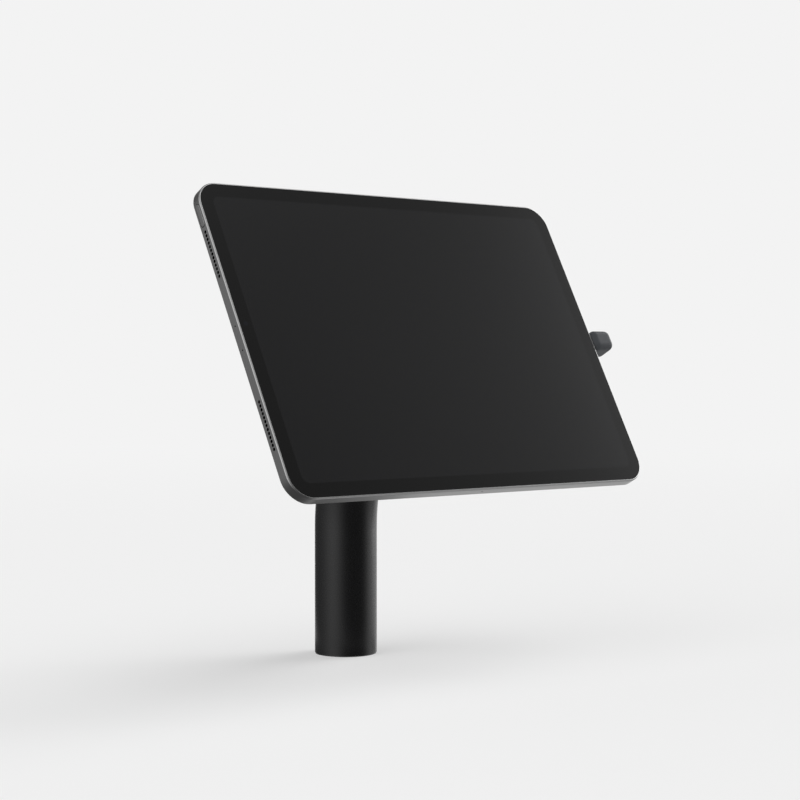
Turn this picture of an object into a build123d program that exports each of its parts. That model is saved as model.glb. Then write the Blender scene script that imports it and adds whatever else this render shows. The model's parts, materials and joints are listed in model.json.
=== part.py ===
from build123d import *
import math
import os

# Tablet kiosk stand, in millimetres. Origin at the centre of the post's foot on the counter, +Z up,
# -Y towards the user, +X to the user's right. The tablet faces -Y and leans back.

# Post
post_diameter = 35.0
post_wall = 2.0
post_straight = 70.7
bend_radius = 112.0
lean_angle = 28.2

# Foot
glide_ring_thick = 0.8
glide_ring_inset = 0.3
insert_clearance = 0.3
insert_flange_height = 12.0
foot_bush_wall = 3.0
spigot_top = 52.0
coupler_bore_radius = 7.0
coupler_bore_depth = 24.0
lead_bore_radius = 4.5
bolt_circle = 23.0
bolt_count = 3
bolt_angle = 90.0
bolt_tap_radius = 1.65
bolt_depth = 10.0
bush_fit = 0.02
running_fit = 0.05
foot_bush_length = 10.0
foot_lug_height = 3.2
foot_lug_half_angle = 8.0
foot_lug_clearance = 0.4
foot_pin_radius = 1.0
foot_pin_clearance = 0.3
foot_pin_length = 8.0
foot_pin_stand_out = 3.0
foot_pin_angle = 150.0
preload_washer_thick = 0.9
collar_thick = 3.0
collar_clearance = 0.5
collar_screw_radius = 1.25
collar_screw_head_radius = 2.4
collar_screw_length = 9.0
face_gap = 0.05

# Power coupler in the foot
coupler_clearance = 0.1
snap_ring_thick = 1.0
snap_ring_height = 0.6
snap_ring_groove = 0.6
snap_ring_width = 1.6
snap_ring_gap_angle = 40.0
port_width = 8.34
port_height = 2.56
port_shell_wall = 0.3
port_depth = 7.3
tongue_width = 6.7
tongue_thick = 0.7
tongue_length = 5.0
coupler_pocket_depth = 6.0

# Lead
lead_radius = 1.75
lead_clearance = 0.1
foot_split_height = 40.0
post_lead_start = 20.0
head_split_depth = 8.0
head_lead_bend = 8.0

# Head, measured along the head axis from the tube's mouth
friction_washer_thick = 1.0
hub_flange_thick = 5.6
hub_stem_wall = 2.0
socket_length = 10.0
socket_fit = 0.05
socket_wall = 2.4
head_bush_wall = 2.0
head_pin_radius = 1.0
head_pin_angle = 180.0
head_pin_seat = 6.0
head_pin_engagement = 1.6
head_groove_depth = 2.0
head_groove_clearance = 0.15
head_swing = 90.0
channel_clearance = 0.25
thrust_washer_thick = 1.0
disc_spring_height = 1.5
disc_spring_thick = 0.7
lock_nut_thick = 3.0
lock_nut_clearance = 2.1
lock_nut_slot = 3.0
lock_nut_slot_depth = 1.4
plate_radius = 50.0
plate_thick = 2.0
plate_screw_count = 4
plate_screw_angle = 45.0
plate_screw_wall = 3.5
plate_screw_radius = 1.25
plate_screw_hole_radius = 1.6
plate_screw_head_radius = 2.8
plate_screw_depth = 3.2
pad_inset = 2.0
pad_thick = 1.0
clip_insets = (20.0, 7.0)
clip_length = 6.0
clip_width = 15.0
clip_wall = 1.2

# Tablet
tablet_length = 247.6
tablet_width = 178.5
tablet_thick = 5.9
tablet_corner = 13.3
casing_wall = 2.4
casing_back = 0.8
cavity_corner = 8.0
rim_width = 0.85
front_round = 0.8
back_chamfer = 0.15
glass_gap = 0.08
glass_thick = 0.7
glass_recess = 0.02
glass_chamfer = 0.15
seal_thick = 0.15
display_margin = 7.5
display_corner = 4.5
display_thick = 1.7
inner_gap = 0.3
speaker_hole_radius = 0.87
speaker_hole_pitch = 2.13
speaker_hole_count = 13
speaker_inset = 41.25
speaker_size = (9.0, 28.0, 2.4)
speaker_corner = 1.5
mic_hole_radius = 0.4
mic_spacing = 13.4
mic_size = (3.0, 0.5, 1.6)
battery_thick = 2.2
battery_side_gap = 11.1
battery_end_gap = 25.85
battery_corner = 2.0
board_width = 22.0
board_end_gap = 8.85
board_thick = 0.8
board_gap = 2.0
can_margin = 2.0
can_length = 52.0
can_thick = 1.1
can_corner = 1.0
receptacle_length = 7.2
receptacle_wall = 0.5
receptacle_recess = 0.1
front_camera_offset = 4.5
front_camera_rise = 6.8
front_camera_radius = 1.4
front_camera_depth = 2.6
rear_camera_inset = 16.0
rear_camera_size = 11.0
rear_camera_corner = 1.0
rear_camera_height = 2.4
rear_barrel_radius = 5.0
rear_barrel_clearance = 0.2
rear_barrel_stand_out = 0.2
rear_ring_radius = 7.4
rear_ring_wall = 1.1
rear_ring_height = 1.2
rear_ring_chamfer = 0.25
rear_lens_thick = 0.8
rear_lens_recess = 0.1
flash_radius = 1.6
flash_spacing = 11.5
flash_inner_height = 0.4

# Tablet buttons
button_width = 3.0
button_clearance = 0.3
button_stand_out = 0.15
button_travel = 0.25
button_chamfer = 0.12
power_length = 12.8
power_inset = 18.85
volume_length = 11.0
volume_insets = (30.8, 44.8)
switch_overlap = 2.4
switch_width = 3.4
switch_thick = 0.8

# Plug
plug_clearance = 0.3
plug_width = 12.2
plug_reach = 15.6
plug_stand_out = 1.85
plug_round = 3.7
plug_back_gap = 1.0
plug_leg_thick = 5.2
plug_leg_width = 9.0
plug_leg_tip = 12.0
plug_leg_round = 1.5
plug_shell_length = 6.5
plug_pocket_depth = 5.0
plug_fit = 0.1
plug_lead_pocket = 4.0

# Lead's step from the plug's height to the clips' height
lead_step_margin = 12.0
lead_step_bend = 150.0

os.makedirs("parts", exist_ok=True)


# Derived places
turn_angle = 90.0 - lean_angle
turn = math.radians(turn_angle)
post_radius = post_diameter / 2
tube_bore_radius = post_radius - post_wall
spigot_radius = tube_bore_radius - foot_bush_wall
foot_pin_circle = spigot_radius + foot_pin_radius + foot_pin_clearance
collar_screw_circle = (lead_bore_radius + spigot_radius) / 2
bend_axis = Axis((0, -bend_radius, post_straight), (1, 0, 0))
mouth = Vector(
    0,
    -bend_radius * (1 - math.cos(turn)),
    post_straight + bend_radius * math.sin(turn),
)
head_normal = Vector(0, -math.sin(turn), math.cos(turn))
head_plane = Plane(origin=mouth, x_dir=(1, 0, 0), z_dir=head_normal)
head_axis = Axis(mouth, head_normal)

head_bush_outer = tube_bore_radius - socket_fit - socket_wall
head_pin_circle = (head_bush_outer + tube_bore_radius - socket_fit) / 2
hub_stem_radius = head_bush_outer - head_bush_wall - running_fit
hub_bore_radius = hub_stem_radius - hub_stem_wall
plate_screw_circle = hub_bore_radius + plate_screw_wall + plate_screw_radius
lock_nut_radius = tube_bore_radius - lock_nut_clearance
pad_radius = plate_radius - pad_inset
clip_positions = [plate_radius - inset for inset in clip_insets]
channel_width = 2 * (lead_radius + channel_clearance)
hub_front = friction_washer_thick + hub_flange_thick
plate_front = hub_front + plate_thick
tablet_back = plate_front + pad_thick
tablet_plane = head_plane.offset(tablet_back + tablet_thick)
channel_height = hub_front - channel_width / 2

# Foot: what stays bolted to the counter
with BuildPart() as glide_ring:
    with BuildSketch(Plane.XY):
        Circle(post_radius - glide_ring_inset)
        Circle(tube_bore_radius, mode=Mode.SUBTRACT)
    extrude(amount=glide_ring_thick)
glide_ring.part.label = "glide_ring"
export_step(glide_ring.part, "parts/glide_ring.step")

coupler_bottom = snap_ring_height + snap_ring_thick
with BuildPart() as base_insert:
    with BuildSketch(Plane.XY):
        Circle(tube_bore_radius - insert_clearance)
    extrude(amount=insert_flange_height)
    with BuildSketch(Plane.XY.offset(insert_flange_height)):
        Circle(spigot_radius)
    extrude(amount=spigot_top - insert_flange_height)
    with BuildSketch(Plane.XY):
        Circle(coupler_bore_radius)
    extrude(amount=coupler_bore_depth, mode=Mode.SUBTRACT)
    with BuildSketch(Plane.XY):
        Circle(lead_bore_radius)
    extrude(amount=spigot_top, mode=Mode.SUBTRACT)
    with BuildSketch(Plane.XY.offset(snap_ring_height)):
        Circle(coupler_bore_radius + snap_ring_groove)
    extrude(amount=snap_ring_thick, mode=Mode.SUBTRACT)
    with BuildSketch(Plane.XY):
        with PolarLocations(bolt_circle / 2, bolt_count, start_angle=bolt_angle):
            Circle(bolt_tap_radius)
    extrude(amount=bolt_depth, mode=Mode.SUBTRACT)
    with BuildSketch(Plane.XY.offset(insert_flange_height)):
        with PolarLocations(foot_pin_circle, 1, start_angle=foot_pin_angle):
            Circle(foot_pin_radius)
    extrude(amount=-(foot_pin_length - foot_pin_stand_out), mode=Mode.SUBTRACT)
    with BuildSketch(Plane.XY.offset(spigot_top)):
        with PolarLocations(collar_screw_circle, 2):
            Circle(collar_screw_radius)
    extrude(amount=-collar_screw_length, mode=Mode.SUBTRACT)
base_insert.part.label = "base_insert"
export_step(base_insert.part, "parts/base_insert.step")

with BuildPart() as base_stop_pin:
    with BuildSketch(Plane.XY.offset(insert_flange_height + foot_pin_stand_out)):
        with PolarLocations(foot_pin_circle, 1, start_angle=foot_pin_angle):
            Circle(foot_pin_radius)
    extrude(amount=-foot_pin_length)
base_stop_pin.part.label = "base_stop_pin"
export_step(base_stop_pin.part, "parts/base_stop_pin.step")

with BuildPart() as preload_washer:
    with BuildSketch(Plane.XY.offset(spigot_top)):
        Circle(tube_bore_radius - collar_clearance)
        Circle(spigot_radius + running_fit, mode=Mode.SUBTRACT)
    extrude(amount=-preload_washer_thick)
preload_washer.part.label = "preload_washer"
export_step(preload_washer.part, "parts/preload_washer.step")

with BuildPart() as retaining_collar:
    with BuildSketch(Plane.XY.offset(spigot_top)):
        Circle(tube_bore_radius - collar_clearance)
        Circle(lead_bore_radius, mode=Mode.SUBTRACT)
    extrude(amount=collar_thick)
    with Locations(Plane.XY.offset(spigot_top + collar_thick)):
        with PolarLocations(collar_screw_circle, 2):
            CounterSinkHole(collar_screw_radius, collar_screw_head_radius)
retaining_collar.part.label = "retaining_collar"
export_step(retaining_collar.part, "parts/retaining_collar.step")

with BuildPart() as collar_screws:
    with BuildSketch(Plane.XY.offset(spigot_top + collar_thick)):
        with PolarLocations(collar_screw_circle, 2):
            Circle(collar_screw_head_radius)
    extrude(amount=-(collar_screw_head_radius - collar_screw_radius), taper=45)
    with BuildSketch(Plane.XY.offset(spigot_top + collar_thick)):
        with PolarLocations(collar_screw_circle, 2):
            Circle(collar_screw_radius)
    extrude(amount=-collar_screw_length)
collar_screws.part.label = "collar_screws"
export_step(collar_screws.part, "parts/collar_screws.step")

# Foot: the power coupler that the counter's supply lead plugs into from below
with BuildPart() as power_coupler:
    with BuildSketch(Plane.XY.offset(coupler_bottom)):
        Circle(coupler_bore_radius - coupler_clearance)
        SlotOverall(
            port_width + 2 * port_shell_wall,
            port_height + 2 * port_shell_wall,
            mode=Mode.SUBTRACT,
        )
    extrude(amount=port_depth)
    with BuildSketch(Plane.XY.offset(coupler_bottom + port_depth)):
        Circle(coupler_bore_radius - coupler_clearance)
    extrude(amount=coupler_bore_depth - coupler_bottom - port_depth)
    with BuildSketch(Plane.XY.offset(coupler_bore_depth)):
        Circle(lead_radius + lead_clearance)
    extrude(amount=-coupler_pocket_depth, mode=Mode.SUBTRACT)
power_coupler.part.label = "power_coupler"
export_step(power_coupler.part, "parts/power_coupler.step")

with BuildPart() as coupler_shell:
    with BuildSketch(Plane.XY.offset(coupler_bottom)):
        SlotOverall(port_width + 2 * port_shell_wall, port_height + 2 * port_shell_wall)
        SlotOverall(port_width, port_height, mode=Mode.SUBTRACT)
    extrude(amount=port_depth)
coupler_shell.part.label = "coupler_shell"
export_step(coupler_shell.part, "parts/coupler_shell.step")

with BuildPart() as coupler_tongue:
    with BuildSketch(Plane.XY.offset(coupler_bottom + port_depth)):
        Rectangle(tongue_width, tongue_thick)
    extrude(amount=-tongue_length)
coupler_tongue.part.label = "coupler_tongue"
export_step(coupler_tongue.part, "parts/coupler_tongue.step")

snap_ring_outer = coupler_bore_radius + snap_ring_groove - coupler_clearance
with BuildPart() as coupler_snap_ring:
    with BuildSketch(Plane.XY.offset(snap_ring_height)):
        Circle(snap_ring_outer)
        Circle(snap_ring_outer - snap_ring_width, mode=Mode.SUBTRACT)
        with BuildLine():
            gap_reach = 2 * snap_ring_outer
            gap_half = math.radians(snap_ring_gap_angle / 2)
            gap_x = gap_reach * math.cos(gap_half)
            gap_y = gap_reach * math.sin(gap_half)
            Polyline((0, 0), (gap_x, gap_y), (gap_x, -gap_y), close=True)
        make_face(mode=Mode.SUBTRACT)
    extrude(amount=snap_ring_thick)
coupler_snap_ring.part.label = "coupler_snap_ring"
export_step(coupler_snap_ring.part, "parts/coupler_snap_ring.step")

coupler_lead_end = coupler_bore_depth - coupler_pocket_depth
with BuildPart() as base_lead:
    with BuildSketch(Plane.XY.offset(coupler_lead_end)):
        Circle(lead_radius)
    extrude(amount=foot_split_height - coupler_lead_end)
base_lead.part.label = "base_lead"
export_step(base_lead.part, "parts/base_lead.step")

# Post: what swivels on the foot
with BuildPart() as post_tube:
    with BuildSketch(Plane.XY.offset(post_straight)) as tube_section:
        Circle(post_radius)
        Circle(tube_bore_radius, mode=Mode.SUBTRACT)
    extrude(amount=-(post_straight - glide_ring_thick))
    revolve(tube_section.sketch, axis=bend_axis, revolution_arc=turn_angle)
post_tube.part.label = "post_tube"
export_step(post_tube.part, "parts/post_tube.step")

bush_radius = tube_bore_radius - bush_fit
lower_bush_bottom = insert_flange_height + foot_lug_clearance + foot_lug_height
with BuildPart() as lower_bush:
    with BuildSketch(Plane.XY.offset(lower_bush_bottom)):
        Circle(bush_radius)
        Circle(spigot_radius + running_fit, mode=Mode.SUBTRACT)
    extrude(amount=foot_bush_length)
    with BuildSketch(Plane.XY.offset(lower_bush_bottom)):
        with BuildLine():
            lug_reach = 2 * bush_radius
            lug_turn = math.radians(foot_pin_angle + 180)
            lug_half = math.radians(foot_lug_half_angle)
            lug_start = (
                lug_reach * math.cos(lug_turn - lug_half),
                lug_reach * math.sin(lug_turn - lug_half),
            )
            lug_end = (
                lug_reach * math.cos(lug_turn + lug_half),
                lug_reach * math.sin(lug_turn + lug_half),
            )
            Polyline((0, 0), lug_start, lug_end, close=True)
        make_face()
        Circle(bush_radius, mode=Mode.INTERSECT)
        Circle(spigot_radius + insert_clearance, mode=Mode.SUBTRACT)
    extrude(amount=-foot_lug_height)
lower_bush.part.label = "lower_bush"
export_step(lower_bush.part, "parts/lower_bush.step")

with BuildPart() as upper_bush:
    with BuildSketch(Plane.XY.offset(spigot_top - preload_washer_thick - face_gap)):
        Circle(bush_radius)
        Circle(spigot_radius + running_fit, mode=Mode.SUBTRACT)
    extrude(amount=-foot_bush_length)
upper_bush.part.label = "upper_bush"
export_step(upper_bush.part, "parts/upper_bush.step")

socket_turn = math.degrees(socket_length / bend_radius)
with BuildPart() as head_socket:
    with BuildSketch(head_plane):
        Circle(tube_bore_radius - socket_fit)
    revolve(axis=bend_axis, revolution_arc=-2 * socket_turn)
    split(bisect_by=head_plane.offset(-socket_length), keep=Keep.TOP)
    with BuildSketch(head_plane):
        Circle(head_bush_outer)
    extrude(amount=-2 * socket_length, mode=Mode.SUBTRACT)
    with BuildSketch(head_plane):
        with PolarLocations(head_pin_circle, 1, start_angle=head_pin_angle):
            Circle(head_pin_radius)
    extrude(amount=-head_pin_seat, mode=Mode.SUBTRACT)
head_socket.part.label = "head_socket"
export_step(head_socket.part, "parts/head_socket.step")

with BuildPart() as head_bush:
    with BuildSketch(head_plane):
        Circle(head_bush_outer - bush_fit)
        Circle(hub_stem_radius + running_fit, mode=Mode.SUBTRACT)
    extrude(amount=-socket_length)
head_bush.part.label = "head_bush"
export_step(head_bush.part, "parts/head_bush.step")

with BuildPart() as friction_washer:
    with BuildSketch(head_plane):
        Circle(post_radius)
        Circle(hub_stem_radius + running_fit, mode=Mode.SUBTRACT)
        with PolarLocations(head_pin_circle, 1, start_angle=head_pin_angle):
            Circle(head_pin_radius, mode=Mode.SUBTRACT)
    extrude(amount=friction_washer_thick)
friction_washer.part.label = "friction_washer"
export_step(friction_washer.part, "parts/friction_washer.step")

with BuildPart() as head_stop_pin:
    with BuildSketch(head_plane.offset(friction_washer_thick + head_pin_engagement)):
        with PolarLocations(head_pin_circle, 1, start_angle=head_pin_angle):
            Circle(head_pin_radius)
    extrude(amount=-(friction_washer_thick + head_pin_engagement + head_pin_seat))
head_stop_pin.part.label = "head_stop_pin"
export_step(head_stop_pin.part, "parts/head_stop_pin.step")

# The lead turns through the post on one arc whose two ends lie on the foot's and the head's axes
half_turn_tangent = math.tan(turn / 2)
post_lead_radius = bend_radius - post_lead_start / half_turn_tangent
post_lead_bend_height = post_straight + post_lead_start
post_lead_axis = Axis((0, -post_lead_radius, post_lead_bend_height), (1, 0, 0))
with BuildPart() as post_lead:
    with BuildSketch(Plane.XY.offset(post_lead_bend_height)) as lead_section:
        Circle(lead_radius)
    extrude(amount=-(post_lead_bend_height - foot_split_height))
    revolve(lead_section.sketch, axis=post_lead_axis, revolution_arc=turn_angle)
    with BuildSketch(head_plane.offset(-post_lead_start)):
        Circle(lead_radius)
    extrude(amount=post_lead_start - head_split_depth)
post_lead.part.label = "post_lead"
export_step(post_lead.part, "parts/post_lead.step")

# Head: what turns between landscape and portrait with the tablet
thrust_front = -(socket_length + face_gap)
spring_front = thrust_front - thrust_washer_thick
spring_back = spring_front - disc_spring_height
stem_end = spring_back - lock_nut_thick
pin_half_angle = math.degrees(math.asin(head_pin_radius / head_pin_circle))
groove_half_angle = head_swing + pin_half_angle
groove_radius = head_pin_radius + head_groove_clearance
with BuildPart() as hub:
    with BuildSketch(head_plane.offset(friction_washer_thick)):
        Circle(post_radius)
    extrude(amount=hub_flange_thick)
    with BuildSketch(head_plane.offset(friction_washer_thick)):
        Circle(hub_stem_radius)
    extrude(amount=stem_end - friction_washer_thick)
    with BuildSketch(head_plane.offset(hub_front)):
        Circle(hub_bore_radius)
    extrude(amount=stem_end - hub_front, mode=Mode.SUBTRACT)
    with BuildSketch(head_plane.offset(hub_front)):
        with Locations((post_radius, 0)):
            Rectangle(2 * (post_radius - hub_bore_radius + clip_wall), channel_width)
    extrude(amount=-channel_width, mode=Mode.SUBTRACT)
    with BuildSketch(head_plane.offset(friction_washer_thick)):
        with BuildLine():
            groove_start = head_pin_angle - head_swing
            groove_outer = CenterArc(
                (0, 0), head_pin_circle + groove_radius, groove_start, 2 * head_swing
            )
            groove_inner = CenterArc(
                (0, 0), head_pin_circle - groove_radius, groove_start, 2 * head_swing
            )
            Line(groove_outer @ 0, groove_inner @ 0)
            Line(groove_outer @ 1, groove_inner @ 1)
        make_face()
        with PolarLocations(
            head_pin_circle,
            2,
            start_angle=groove_start,
            angular_range=2 * head_swing,
            endpoint=True,
        ):
            Circle(groove_radius)
    extrude(amount=head_groove_depth, both=True, mode=Mode.SUBTRACT)
    with BuildSketch(head_plane.offset(hub_front)):
        with PolarLocations(plate_screw_circle, plate_screw_count, start_angle=plate_screw_angle):
            Circle(plate_screw_radius)
    extrude(amount=-plate_screw_depth, mode=Mode.SUBTRACT)
hub.part.label = "hub"
export_step(hub.part, "parts/hub.step")

with BuildPart() as thrust_washer:
    with BuildSketch(head_plane.offset(thrust_front)):
        Circle(lock_nut_radius)
        Circle(hub_stem_radius + running_fit, mode=Mode.SUBTRACT)
    extrude(amount=-thrust_washer_thick)
thrust_washer.part.label = "thrust_washer"
export_step(thrust_washer.part, "parts/thrust_washer.step")

with BuildPart() as disc_spring:
    with BuildSketch(Plane(origin=mouth, x_dir=(1, 0, 0), z_dir=head_plane.y_dir * -1)):
        with BuildLine():
            Polyline(
                (hub_stem_radius + running_fit, spring_back),
                (lock_nut_radius, spring_front - disc_spring_thick),
                (lock_nut_radius, spring_front),
                (hub_stem_radius + running_fit, spring_back + disc_spring_thick),
                close=True,
            )
        make_face()
    revolve(axis=head_axis)
disc_spring.part.label = "disc_spring"
export_step(disc_spring.part, "parts/disc_spring.step")

with BuildPart() as lock_nut:
    with BuildSketch(head_plane.offset(spring_back)):
        Circle(lock_nut_radius)
        Circle(hub_stem_radius + bush_fit, mode=Mode.SUBTRACT)
        with PolarLocations(lock_nut_radius, 4):
            Rectangle(2 * lock_nut_slot_depth, lock_nut_slot, mode=Mode.SUBTRACT)
    extrude(amount=-lock_nut_thick)
lock_nut.part.label = "lock_nut"
export_step(lock_nut.part, "parts/lock_nut.step")

with BuildPart() as bracket_plate:
    with BuildSketch(head_plane.offset(hub_front)):
        Circle(plate_radius)
        with PolarLocations(plate_screw_circle, plate_screw_count, start_angle=plate_screw_angle):
            Circle(plate_screw_hole_radius, mode=Mode.SUBTRACT)
    extrude(amount=plate_thick)
    with BuildSketch(head_plane.offset(plate_front)):
        with PolarLocations(plate_screw_circle, plate_screw_count, start_angle=plate_screw_angle):
            Circle(plate_screw_head_radius)
    extrude(
        amount=-(plate_screw_head_radius - plate_screw_hole_radius),
        taper=45,
        mode=Mode.SUBTRACT,
    )
bracket_plate.part.label = "bracket_plate"
export_step(bracket_plate.part, "parts/bracket_plate.step")

with BuildPart() as plate_screws:
    with BuildSketch(head_plane.offset(plate_front)):
        with PolarLocations(plate_screw_circle, plate_screw_count, start_angle=plate_screw_angle):
            Circle(plate_screw_head_radius - face_gap)
    extrude(amount=-(plate_screw_head_radius - plate_screw_radius), taper=45)
    with BuildSketch(head_plane.offset(plate_front)):
        with PolarLocations(plate_screw_circle, plate_screw_count, start_angle=plate_screw_angle):
            Circle(plate_screw_radius)
    extrude(amount=-(plate_thick + plate_screw_depth))
plate_screws.part.label = "plate_screws"
export_step(plate_screws.part, "parts/plate_screws.step")

with BuildPart() as adhesive_pad:
    with BuildSketch(head_plane.offset(plate_front)):
        Circle(pad_radius)
    extrude(amount=pad_thick)
adhesive_pad.part.label = "adhesive_pad"
export_step(adhesive_pad.part, "parts/adhesive_pad.step")

# Lead clips under the bracket plate: an arch over the lead on a flat foot
clip_arch = lead_radius + lead_clearance + clip_wall
clip_parts = []
for clip_position in clip_positions:
    clip_origin = head_plane.from_local_coords((clip_position, 0, 0))
    clip_plane = Plane(origin=clip_origin, x_dir=head_plane.y_dir, z_dir=(1, 0, 0))
    with BuildPart() as clip:
        with BuildSketch(clip_plane):
            with Locations((0, hub_front)):
                Rectangle(clip_width, clip_wall, align=(Align.CENTER, Align.MAX))
            with Locations((0, channel_height)):
                Circle(clip_arch)
            with Locations((0, hub_front)):
                Rectangle(
                    2 * clip_width,
                    2 * clip_width,
                    align=(Align.CENTER, Align.MIN),
                    mode=Mode.SUBTRACT,
                )
            with Locations((0, channel_height)):
                Circle(lead_radius + lead_clearance, mode=Mode.SUBTRACT)
        extrude(amount=clip_length)
    clip_parts.append(clip.part)
lead_clips = Compound(children=clip_parts)
lead_clips.label = "lead_clips"
export_step(lead_clips, "parts/lead_clips.step")

# Plug: an elbow block beside the tablet's right edge, with a leg that comes back behind the tablet
edge_x = tablet_length / 2
port_depth_z = -tablet_thick / 2
plug_inner_x = edge_x + plug_clearance
plug_outer_x = edge_x + plug_reach
plug_leg_front_z = -tablet_thick - plug_back_gap
plug_back_z = plug_leg_front_z - plug_leg_thick
plug_tip_x = edge_x - plug_leg_tip
plug_lead_z = plug_leg_front_z - plug_leg_thick / 2
plug_plane = Plane(
    origin=tablet_plane.origin, x_dir=(1, 0, 0), z_dir=tablet_plane.y_dir * -1
)
plug_tip_plane = Plane(
    origin=plug_plane.from_local_coords((plug_tip_x, plug_lead_z, 0)),
    x_dir=tablet_plane.y_dir,
    z_dir=(1, 0, 0),
)


def edge_plane(x, y, x_dir, z_dir):
    """Plane on one edge face of the tablet, half way through its thickness."""
    origin = tablet_plane.from_local_coords((x, y, port_depth_z))
    return Plane(origin=origin, x_dir=x_dir, z_dir=z_dir)


upward = tablet_plane.y_dir
left_side = edge_plane(-edge_x, 0, upward, (-1, 0, 0))
right_side = edge_plane(edge_x, 0, upward, (1, 0, 0))
top_side = edge_plane(0, tablet_width / 2, (1, 0, 0), upward)
bottom_side = edge_plane(0, -tablet_width / 2, (1, 0, 0), upward * -1)
receptacle_outer_width = port_width + 2 * receptacle_wall
receptacle_outer_height = port_height + 2 * receptacle_wall
with BuildPart() as plug_housing:
    with BuildSketch(right_side.offset(plug_clearance)):
        with Locations((0, (plug_stand_out + plug_back_z) / 2 - port_depth_z)):
            Rectangle(plug_width, plug_stand_out - plug_back_z)
    extrude(amount=plug_outer_x - plug_inner_x)
    fillet(plug_housing.edges(), plug_round)
    with BuildSketch(plug_tip_plane):
        SlotOverall(plug_leg_width, plug_leg_thick)
    extrude(amount=plug_inner_x + plug_round - plug_tip_x)
    fillet(plug_housing.faces().sort_by(Axis.X)[0].edges(), plug_leg_round)
    with BuildSketch(right_side.offset(plug_clearance)):
        SlotOverall(port_width - plug_fit, port_height - plug_fit)
    extrude(amount=plug_pocket_depth, mode=Mode.SUBTRACT)
    with BuildSketch(plug_tip_plane):
        Circle(lead_radius + lead_clearance)
    extrude(amount=plug_lead_pocket, mode=Mode.SUBTRACT)
plug_housing.part.label = "plug_housing"
export_step(plug_housing.part, "parts/plug_housing.step")

with BuildPart() as plug_shell:
    with BuildSketch(right_side.offset(plug_clearance + plug_pocket_depth)):
        SlotOverall(port_width - plug_fit, port_height - plug_fit)
    extrude(amount=-(plug_clearance + plug_pocket_depth + plug_shell_length))
    with BuildSketch(right_side.offset(-plug_shell_length)):
        SlotOverall(
            port_width - plug_fit - 2 * port_shell_wall,
            port_height - plug_fit - 2 * port_shell_wall,
        )
    extrude(amount=plug_shell_length, mode=Mode.SUBTRACT)
plug_shell.part.label = "plug_shell"
export_step(plug_shell.part, "parts/plug_shell.step")

# Lead behind the tablet, from the plug through the clips and the hub's channel into the stem
lead_run_z = channel_height - tablet_back - tablet_thick
lead_split_z = -tablet_back - tablet_thick - head_split_depth
lead_step_start = plug_tip_x - lead_step_margin
lead_step_end = clip_positions[-1] + clip_length + lead_step_margin
with BuildPart() as tablet_lead:
    with BuildLine(plug_plane) as lead_route:
        FilletPolyline(
            (plug_tip_x + plug_lead_pocket, plug_lead_z),
            (lead_step_start, plug_lead_z),
            (lead_step_end, lead_run_z),
            (0, lead_run_z),
            (0, lead_split_z),
            radius=[lead_step_bend, lead_step_bend, head_lead_bend],
        )
    with BuildSketch(Plane(origin=lead_route.line @ 0, z_dir=lead_route.line % 0)):
        Circle(lead_radius)
    sweep(path=lead_route.line)
tablet_lead.part.label = "tablet_lead"
export_step(tablet_lead.part, "parts/tablet_lead.step")
lead_section_area = math.pi * lead_radius**2
lead_route_length = lead_route.wires()[0].length
print("tablet lead length", round(lead_route_length, 2))
print("tablet lead volume / section", round(tablet_lead.part.volume / lead_section_area, 2))

# Tablet casing
casing_floor_z = -(tablet_thick - casing_back)
glass_back_z = -(glass_recess + glass_thick)
ledge_z = glass_back_z - seal_thick
inner_x = edge_x - casing_wall
inner_y = tablet_width / 2 - casing_wall
speaker_centre = tablet_width / 2 - speaker_inset
power_centre = tablet_width / 2 - power_inset
volume_centres = [-edge_x + inset for inset in volume_insets]
camera_x = -edge_x + rear_camera_inset
camera_y = tablet_width / 2 - rear_camera_inset
hole_reach = casing_wall + inner_gap

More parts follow.
